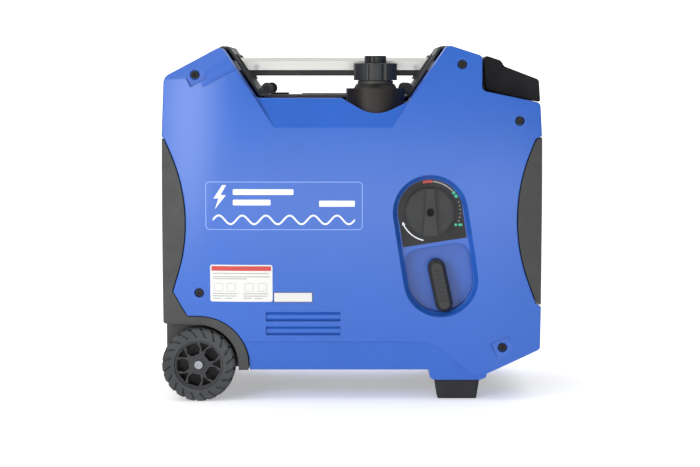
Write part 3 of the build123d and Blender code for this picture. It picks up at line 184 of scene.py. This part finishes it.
LOOKS = [
    moulded("shell_blue", (0.02, 0.108, 0.48), (0.283, 0.287), 1500, 0.06, edge=2.5, spread=0.03, worn=0.1),
    moulded("cover_black", (0.037, 0.038, 0.037), (0.5, 0.66), 1100, 0.3, edge=1.8, worn=0.3),
    moulded("panel_black", (0.014, 0.014, 0.015), (0.34, 0.46), 2400, 0.06, edge=0.5, worn=0.2, specular=0.3),
    moulded("knob_black", (0.019, 0.02, 0.021), (0.34, 0.46), 1600, edge=1.0, worn=0.45, specular=0.38),
    metal("rail_aluminium", (0.45, 0.45, 0.43), (0.3, 0.42), stretch=ALONG_X, edge=0.5, spread=0.03),
    metal("cast_aluminium", (0.5, 0.51, 0.52), (0.5, 0.7), 700, 0.5),
    metal("steel", (0.52, 0.52, 0.53), (0.22, 0.36), 1200, stretch=ALONG_X, edge=0.4, spread=0.06),
    metal("screw_black", (0.025, 0.024, 0.024), (0.3, 0.45), 2000, 0.1, edge=0.3, spread=0.2),
    metal("stator_copper", (0.42, 0.2, 0.09), (0.3, 0.5), 1500, 0.6, edge=0.3, spread=0.3, stretch=WOUND),
    metal("cover_screw", (0.025, 0.024, 0.024), (0.3, 0.42), 1200, edge=0.4, fade=RAIL_SCREWS_BRIGHT),
    metal("axle_steel", (0.3, 0.31, 0.33), (0.25, 0.4), 1200, edge=0.5),
    moulded("grip_black", (0.005, 0.005, 0.006), (0.42, 0.55), 1600, edge=1.2, worn=0.4, specular=0.2),
    moulded("drum_black", (0.014, 0.011, 0.009), (0.26, 0.5), 900, 0.1, edge=0.8, stretch=UPRIGHT,
            specular=0.3),
    moulded("rubber", (0.02, 0.02, 0.021), (0.62, 0.8), 1200, 0.35, edge=1.5, specular=0.3),
    moulded("tyre", (0.05, 0.052, 0.055), (0.56, 0.74), 900, 0.4, edge=1.2, spread=0.35, worn=0.45,
            specular=0.35),
    # The wheel rim's very pale edges are painted highlight on its spokes and windows, and its fade is painted
    # shade towards the web.
    moulded("rim_black", (0.036, 0.037, 0.04), (0.3, 0.45), 1800, 0.1, edge=1.1, worn=0.9, specular=0.25,
            fade=RIM_PAINTED_SHADE_INSIDE),
    moulded("tank", (0.045, 0.045, 0.043), (0.45, 0.6), 500, 0.3, edge=2.0),
    metal("tray_steel", (0.06, 0.06, 0.062), (0.4, 0.55), 1500, 0.2, edge=0.6),
    metal("muffler_steel", (0.36, 0.32, 0.27), (0.35, 0.6), 60, 0.2, edge=1.5, spread=0.35),
    moulded("rope", (0.62, 0.6, 0.53), (0.7, 0.85), 900, 1.0, edge=0.3, spread=0.2, stretch=LAID),
    moulded("lens", (0.012, 0.02, 0.024), (0.04, 0.09), 60, 0.01, edge=0.4, coat=0.6),
    moulded("button_green", (0.02, 0.3, 0.08), (0.2, 0.32), 1500, 0.05, edge=0.8, spread=0.06),
    moulded("button_red", (0.55, 0.02, 0.015), (0.2, 0.32), 1500, 0.05, edge=0.8, spread=0.06),
    metal("earth_brass", (0.62, 0.46, 0.2), (0.25, 0.4), 1500, 0.1, edge=0.4),
    printed("print_white", (0.8, 0.83, 0.88)),
    printed("print_pale_blue", (0.3, 0.45, 0.85)),
    printed("print_red", (0.52, 0.04, 0.035)),
    printed("print_green", (0.03, 0.48, 0.28)),
    printed("print_grey", (0.34, 0.34, 0.33)),
    printed("print_dark", (0.05, 0.06, 0.09)),
    printed("sticker", (0.7, 0.7, 0.68)),
    printed("sticker_silver", (0.66, 0.66, 0.64)),
]
LOOK = {material.name: material for material in LOOKS}
OWN_LOOKS = {  # nodes that look a little different from the rest of their material slot
    "tow_handle_grip": "grip_black",
    "filler_surround": "drum_black",
    "cover_screws": "cover_screw",
    "wheel_axle": "axle_steel",
}

for name, node in NODES.items():
    node.data.materials.clear()
    node.data.materials.append(LOOK[OWN_LOOKS.get(name, SLOT_OF[name])])


# ---------------------------------------------------------------- printed marks
def on_surface(node_name, outward, start):
    """A function from two coordinates to the point just off a CAD node's surface.

    outward is the way the surface faces, and start gives the point outside it that a ray is cast from.
    """
    node = NODES[node_name]

    def place(across, up):
        hit, point, _, _ = node.ray_cast(start(across, up), -outward)
        return point + outward * SKIN if hit else None

    return place


def on_starter_side(node_name):
    """Places (x, z) on a CAD node's surface that faces -Y."""
    from_y = cad_box[0].y - OUTSIDE
    return on_surface(node_name, Vector((0, -1, 0)), lambda x, z: Vector((x, from_y, z)))


def on_front(node_name):
    """Places (y, z) on a CAD node's surface that faces +X."""
    from_x = cad_box[1].x + OUTSIDE
    return on_surface(node_name, Vector((1, 0, 0)), lambda y, z: Vector((from_x, y, z)))


def one_higher(place):
    """The same placing, one skin further out, for a mark printed on another mark."""
    return lambda x, z: place(x, z) - Vector((0, SKIN, 0))


def rounded(x0, z0, x1, z1, radius, steps=6):
    """Outline of a rounded rectangle."""
    centres = [(x1 - radius, z1 - radius), (x0 + radius, z1 - radius), (x0 + radius, z0 + radius),
               (x1 - radius, z0 + radius)]
    points = []
    for quarter, (cx, cz) in enumerate(centres):
        for step in range(steps + 1):
            angle = math.radians(90 * (quarter + step / steps))
            points.append((cx + radius * math.cos(angle), cz + radius * math.sin(angle)))
    return points


def rectangle(x0, z0, x1, z1):
    return [(x0, z0), (x1, z0), (x1, z1), (x0, z1)]


def polar(centre, radius, degrees):
    angle = math.radians(degrees)
    return (centre[0] + radius * math.cos(angle), centre[1] + radius * math.sin(angle))


def disc(centre, radius, steps=16):
    return [polar(centre, radius, 360 * step / steps) for step in range(steps)]


def around(centre, half_wide, half_tall):
    """The box (left, low, right, high) round a centre."""
    return (centre[0] - half_wide, centre[1] - half_tall, centre[0] + half_wide, centre[1] + half_tall)


def arc_band(centre, inner, outer, start, end, steps=20):
    """Outline of a strip between two radii; angles in degrees, anticlockwise."""
    turns = [start + (end - start) * step / steps for step in range(steps + 1)]
    return [polar(centre, outer, t) for t in turns] + [polar(centre, inner, t) for t in reversed(turns)]


def wave_band(x0, x1, z, height, thickness, periods, steps=96):
    """Outline of a sine wave drawn with a steady thickness."""
    upper, lower = [], []
    for step in range(steps + 1):
        share = step / steps
        phase = 2 * math.pi * periods * share
        slope = height * math.cos(phase) * 2 * math.pi * periods / (x1 - x0)
        half = thickness / 2 * math.hypot(1, slope)
        x, middle = x0 + (x1 - x0) * share, z + height * math.sin(phase)
        upper.append((x, middle + half))
        lower.append((x, middle - half))
    return lower + upper[::-1]


def lay_down(name, mesh, place, look, body, proud):
    """Puts a flat mesh, drawn in x and z, onto a surface and makes it an object that rides on a body."""
    last = None
    for vert in mesh.vertices:
        last = place(vert.co.x, vert.co.z) or last
        vert.co = last
    mesh.materials.clear()
    mesh.materials.append(LOOK[look])
    made = bpy.data.objects.new(name, mesh)
    bpy.context.scene.collection.objects.link(made)
    if proud:
        made.modifiers.new("thickness", "SOLIDIFY").thickness = -proud
        made.modifiers.new("edges", "BEVEL").width = proud / 3
    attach(made, body)


def mark(name, outlines, place, look, body="machine", proud=0.0, longest=6 * MM, holes=()):
    """Filled outlines laid on a surface, with no edge over the longest.

    Each outline in holes is cut out of the outline at the same index.
    """
    mesh = bpy.data.meshes.new(name)
    bm = bmesh.new()
    for index, outline in enumerate(outlines):
        outer = [bm.verts.new((x, 0, z)) for x, z in outline]
        if index < len(holes):
            inner = [bm.verts.new((x, 0, z)) for x, z in holes[index]]
            for i, corner in enumerate(outer):
                bm.faces.new((outer[i - 1], corner, inner[i], inner[i - 1]))
        else:
            bm.faces.new(outer)
    bm.normal_update()
    bmesh.ops.triangulate(bm, faces=bm.faces[:])
    while long_edges := [edge for edge in bm.edges if edge.calc_length() > longest]:
        bmesh.ops.subdivide_edges(bm, edges=long_edges, cuts=1)
        bmesh.ops.triangulate(bm, faces=bm.faces[:])
    bmesh.ops.recalc_face_normals(bm, faces=bm.faces[:])
    for face in bm.faces:
        if face.normal.y > 0:
            face.normal_flip()
    bm.to_mesh(mesh)
    bm.free()
    lay_down(name, mesh, place, look, body, proud)


def lettering(name, text, x, z, size, place, look):
    """A plain generic word, centred on (x, z)."""
    curve = bpy.data.curves.new(name + "_curve", "FONT")
    curve.body = text
    curve.size = size
    curve.align_x = "CENTER"
    curve.align_y = "CENTER"
    curve.offset = 0.02 * size
    drawn = bpy.data.objects.new(name + "_curve", curve)
    bpy.context.scene.collection.objects.link(drawn)
    mesh = bpy.data.meshes.new_from_object(drawn.evaluated_get(bpy.context.evaluated_depsgraph_get()))
    bpy.data.objects.remove(drawn)
    for vert in mesh.vertices:
        vert.co = (x + vert.co.x, 0, z + vert.co.y)
    lay_down(name, mesh, place, look, "machine", 0.0)


def middle_of(node_name):
    low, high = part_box(node_name)
    return (low + high) / 2


def scaled(points):
    """Points given in millimetres, in metres."""
    return [(x * MM, z * MM) for x, z in points]


def moved(points, across, up):
    return [(x + across, z + up) for x, z in points]


def shrunk(box, margin):
    """A box (left, low, right, high), smaller by a margin on every side."""
    left, low, right, high = box
    return (left + margin, low + margin, right - margin, high - margin)


def side_label():
    """A framed panel with a bolt, three plain bars and a sine wave."""
    place = on_starter_side("starter_side_shell")
    shell_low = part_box("starter_side_shell")[0]
    left, low = shell_low.x + 66.47 * MM, shell_low.z + 228 * MM
    wide, tall, corner, line = 233.5 * MM, 71.5 * MM, 6 * MM, 0.9 * MM
    frame_box = (left, low, left + wide, low + tall)
    mark("label_frame", [rounded(*frame_box, corner)], place, "print_pale_blue",
         holes=[rounded(*shrunk(frame_box, line), corner - line)])
    bolt = scaled([(25, 66.5), (12, 46.5), (19.5, 46.5), (14, 30.5), (30.5, 51.5), (22.5, 51.5), (31, 66.5)])
    mark("label_bolt", [moved(bolt, left, low)], place, "print_white")
    bars = [[(41, 52), (131, 60.5)], [(41, 36.5), (97, 45)], [(169, 34.5), (222, 43.5)]]
    bar_boxes = [moved(scaled(bar), left, low) for bar in bars]
    mark("label_bars", [rounded(*start, *end, 1.5 * MM) for start, end in bar_boxes], place, "print_white")
    wave = wave_band(left + 11 * MM, left + 222 * MM, low + 15 * MM, 6.5 * MM, 2.6 * MM, 6)
    mark("label_wave", [wave], place, "print_white", longest=8 * MM)


def sticker_lines(left, low, right, high):
    """Three long lines below the band, and two columns of three short ones at the foot."""
    long_lines = [rectangle(left + 4 * MM, high - drop * MM, right - end * MM, high - (drop - 1.2) * MM)
                  for drop, end in ((13.5, 6), (18.5, 4), (21.5, 38))]
    short_lines = []
    for column in (left + 4 * MM, (left + right) / 2 + 3 * MM):
        for rise, length in ((11.5, 37), (8, 35), (4.5, 29)):
            foot = low + rise * MM
            short_lines.append(rectangle(column, foot, column + length * MM, foot + 1.1 * MM))
    return long_lines + short_lines


def side_stickers():
    """A white sticker with a red band and plain lines, and a small silver plate beside it."""
    place = on_starter_side("starter_side_shell")
    above = one_higher(place)
    shell_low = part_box("starter_side_shell")[0]
    left, low = shell_low.x + 72.77 * MM, shell_low.z + 120.3 * MM
    right, high = left + 93.1 * MM, low + 55.4 * MM
    mark("sticker_white", [rounded(left, low, right, high, 3 * MM)], place, "sticker")
    band = rectangle(left + 2 * MM, high - 9 * MM, right - 2 * MM, high - 2 * MM)
    mark("sticker_band", [band], above, "print_red")
    mark("sticker_lines", sticker_lines(left, low, right, high), above, "print_grey", longest=30 * MM)
    middle = (left + right) / 2
    boxes = [(start, low + 15.5 * MM, start + 13 * MM, low + 28 * MM)
             for start in (left + 6 * MM, left + 25 * MM, middle + 5 * MM, middle + 25 * MM)]
    mark("sticker_boxes", [rounded(*box, 2 * MM) for box in boxes], above, "print_grey",
         holes=[rounded(*shrunk(box, 0.5 * MM), 1.5 * MM) for box in boxes])
    plate_left, plate_low = right + 1.4 * MM, low - MM
    plate = (plate_left, plate_low, plate_left + 58.4 * MM, plate_low + 15.6 * MM)
    mark("plate_edge", [rectangle(*plate)], place, "print_dark")
    mark("plate_face", [rectangle(*shrunk(plate, 1.1 * MM))], above, "sticker_silver")


def dial_marks():
    """Red for closed, green for open, with a fading arc and dots between, as on any fuel dial.

    Turns are in degrees, anticlockwise from +X.
    """
    place = on_starter_side("dial_plate")
    knob = middle_of("fuel_dial_knob")
    centre, radius = (knob.x, knob.z), 45 * MM
    mark("dial_off", [arc_band(centre, radius - 1.6 * MM, radius + 2 * MM, 86, 104)], place, "print_red")
    mark("dial_sweep", [arc_band(centre, radius - 0.6 * MM, radius + 1.2 * MM, 43, 85)], place, "print_grey")
    greens = [disc(polar(centre, radius, turn), 2.6 * MM) for turn in (39, 31)]
    greens.append(disc(polar(centre, radius - 2 * MM, -27), 2 * MM))
    greens.append(rounded(*around(polar(centre, radius + 4.2 * MM, -23.5), 3 * MM, 1.8 * MM), MM))
    mark("dial_on", greens, place, "print_green")
    dots = [disc(polar(centre, radius, 19 - 7.4 * step), 0.9 * MM) for step in range(6)]
    mark("dial_dots", dots, place, "print_grey")
    tip_turn, tail_turn = 207, 257
    arrow_head = [polar(centre, radius - 3.4 * MM, tip_turn), polar(centre, radius + 1.6 * MM, tip_turn),
                  polar(centre, radius - 0.9 * MM, tip_turn - 7)]
    arrow_line = arc_band(centre, radius - 1.7 * MM, radius - 0.1 * MM, tip_turn, tail_turn)
    mark("dial_turn_arrow", [arrow_line, arrow_head], place, "print_white")
    # Painted shade: a black disc laid in the knob's centre hole, where shade falls.
    on_knob = on_starter_side("fuel_dial_knob")
    mark("knob_centre", [disc(centre, 5.2 * MM)], on_knob, "grip_black", body="fuel_dial")


def grip_ribs():
    """Moulded ribs across the starter grip, which leans 12 degrees."""
    place = on_starter_side("recoil_grip")
    grip = middle_of("recoil_grip")
    tilt, length, count = math.radians(12), 46 * MM, 8
    half_long, half_wide = 5 * MM, 0.9 * MM
    along = Vector((math.sin(tilt), -math.cos(tilt)))
    across = Vector((-along.y, along.x))
    ribs = []
    for index in range(count):
        middle = Vector((grip.x, grip.z)) + along * length * (index / (count - 1) - 0.5)
        corners = rectangle(-half_long, -half_wide, half_long, half_wide)
        ribs.append([tuple(middle + across * a + along * b) for a, b in corners])
    mark("grip_ribs", ribs, place, "knob_black", body="starter_grip", proud=0.7 * MM)


def panel_marks():
    """Plain function marks on the control panel: socket labels, lamps and a read-out."""
    place = on_front("control_panel")
    for name in ("socket_cover_1", "socket_cover_2"):
        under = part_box(name)[0].z - 6 * MM
        lettering(name + "_label", "AC", middle_of(name).y, under, 7 * MM, place, "print_white")
    # The 12 volt socket is right below the breaker.
    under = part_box("panel_sockets")[0].z - MM
    lettering("dc_label", "DC", middle_of("breaker_button").y, under, 9 * MM, place, "print_white")
    rocker = middle_of("eco_rocker")
    lettering("rocker_on", "I", rocker.y, rocker.z + 25 * MM, 7 * MM, place, "print_white")
    lettering("rocker_off", "O", rocker.y, rocker.z - 25 * MM, 7 * MM, place, "print_white")
    lens = middle_of("display_lens")
    lamp_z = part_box("display_lens")[0].z - 22.3 * MM
    for index, look in enumerate(("print_green", "print_grey", "print_red")):
        lamp_y = lens.y + 18 * MM * (index - 1)
        mark(f"lamp_{index + 1}", [disc((lamp_y, lamp_z), 2.6 * MM)], place, look)
    panel_low, panel_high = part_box("control_panel")
    corner, line = 6 * MM, 1.2 * MM
    border = shrunk((panel_low.y, panel_low.z, panel_high.y, panel_high.z), 5 * MM)
    mark("panel_border", [rounded(*border, corner)], place, "print_grey",
         holes=[rounded(*shrunk(border, line), corner - line)], longest=60 * MM)
    lettering("read_out", "00.0", lens.y, lens.z, 22 * MM, on_front("display_lens"), "print_green")


side_label()
side_stickers()
dial_marks()
grip_ribs()
panel_marks()


# ---------------------------------------------------------------- floor, light and camera
def floor():
    """A pale floor that curves up into a backdrop far behind."""
    half_width, front, back, radius, top = 7.0, -6.0, 4.0, 2.0, 6.0
    profile = [(front, 0.0), (back, 0.0)]
    for degrees in range(6, 91, 6):
        turn = math.radians(degrees)
        profile.append((back + radius * math.sin(turn), radius * (1 - math.cos(turn))))
    profile.append((back + radius, top))
    bm = bmesh.new()
    rows = [[bm.verts.new((x, y, z)) for x in (-half_width, half_width)] for y, z in profile]
    for first, second in zip(rows, rows[1:]):
        bm.faces.new((first[0], first[1], second[1], second[0])).smooth = True
    mesh = bpy.data.meshes.new("floor")
    bm.to_mesh(mesh)
    bm.free()
    # The backdrop glows a little where it rises, so that it stays white behind the object.
    paper = Shading("floor_paper")
    rise = paper.node("SeparateXYZ", {"Vector": paper.coords}).outputs["Z"]
    paper.set(
        Base_Color=paper.mix(paper.remap(paper.noise(3.0), 0.0, 1.0), (0.9, 0.9, 0.9), (0.93, 0.93, 0.93)),
        Roughness=paper.remap(paper.noise(60.0), 0.75, 0.9),
        Emission_Color=(1, 1, 1, 1),
        Emission_Strength=paper.remap(rise, 0.35, 0.9, 0.0, 0.6),
    )
    mesh.materials.append(paper.material)
    made = bpy.data.objects.new("floor", mesh)
    bpy.context.scene.collection.objects.link(made)


def area_light(name, place, aim, size, power):
    """A soft rectangular light at a place, turned to face a point."""
    data = bpy.data.lights.new(name, "AREA")
    data.shape = "RECTANGLE"
    data.size, data.size_y = size
    data.energy = power
    made = bpy.data.objects.new(name, data)
    made.location = place
    made.rotation_euler = (Vector(aim) - Vector(place)).to_track_quat("-Z", "Y").to_euler()
    bpy.context.scene.collection.objects.link(made)


floor()
area_light("light_above", (0, 0.4, 3.0), (0, 0.3, 0.2), (5.0, 3.4), 66)
area_light("light_front_left", (-1.75, -2.7, 0.95), (0, -0.1, 0.3), (1.1, 1.7), 37)
area_light("light_upper_left", (-1.9, -1.5, 2.0), (-0.2, -0.1, 0.5), (1.2, 1.2), 14)
area_light("light_front_low", (0.3, -3.6, 0.2), (0, 0, 0.25), (3.0, 0.8), 29)
world = bpy.data.worlds.new("studio")
world.use_nodes = True
world.node_tree.nodes["Background"].inputs["Color"].default_value = (1, 1, 1, 1)
world.node_tree.nodes["Background"].inputs["Strength"].default_value = 0.33
bpy.context.scene.world = world
bpy.context.scene.view_settings.view_transform = "Standard"

DISTANCE = 2.6  # from the camera to the near face
LOOKING_DOWN = math.radians(5)
camera_data = bpy.data.cameras.new("camera")
camera_data.sensor_width = 36
camera_data.lens = 90.4
camera = bpy.data.objects.new("camera", camera_data)
middle = (cad_box[0] + cad_box[1]) / 2
target = Vector((middle.x - 4 * MM, cad_box[0].y, middle.z - 12.75 * MM))
camera.location = target + Vector((0, -DISTANCE, DISTANCE * math.tan(LOOKING_DOWN)))
camera.rotation_euler = (target - camera.location).to_track_quat("-Z", "Y").to_euler()
bpy.context.scene.collection.objects.link(camera)
bpy.context.scene.camera = camera
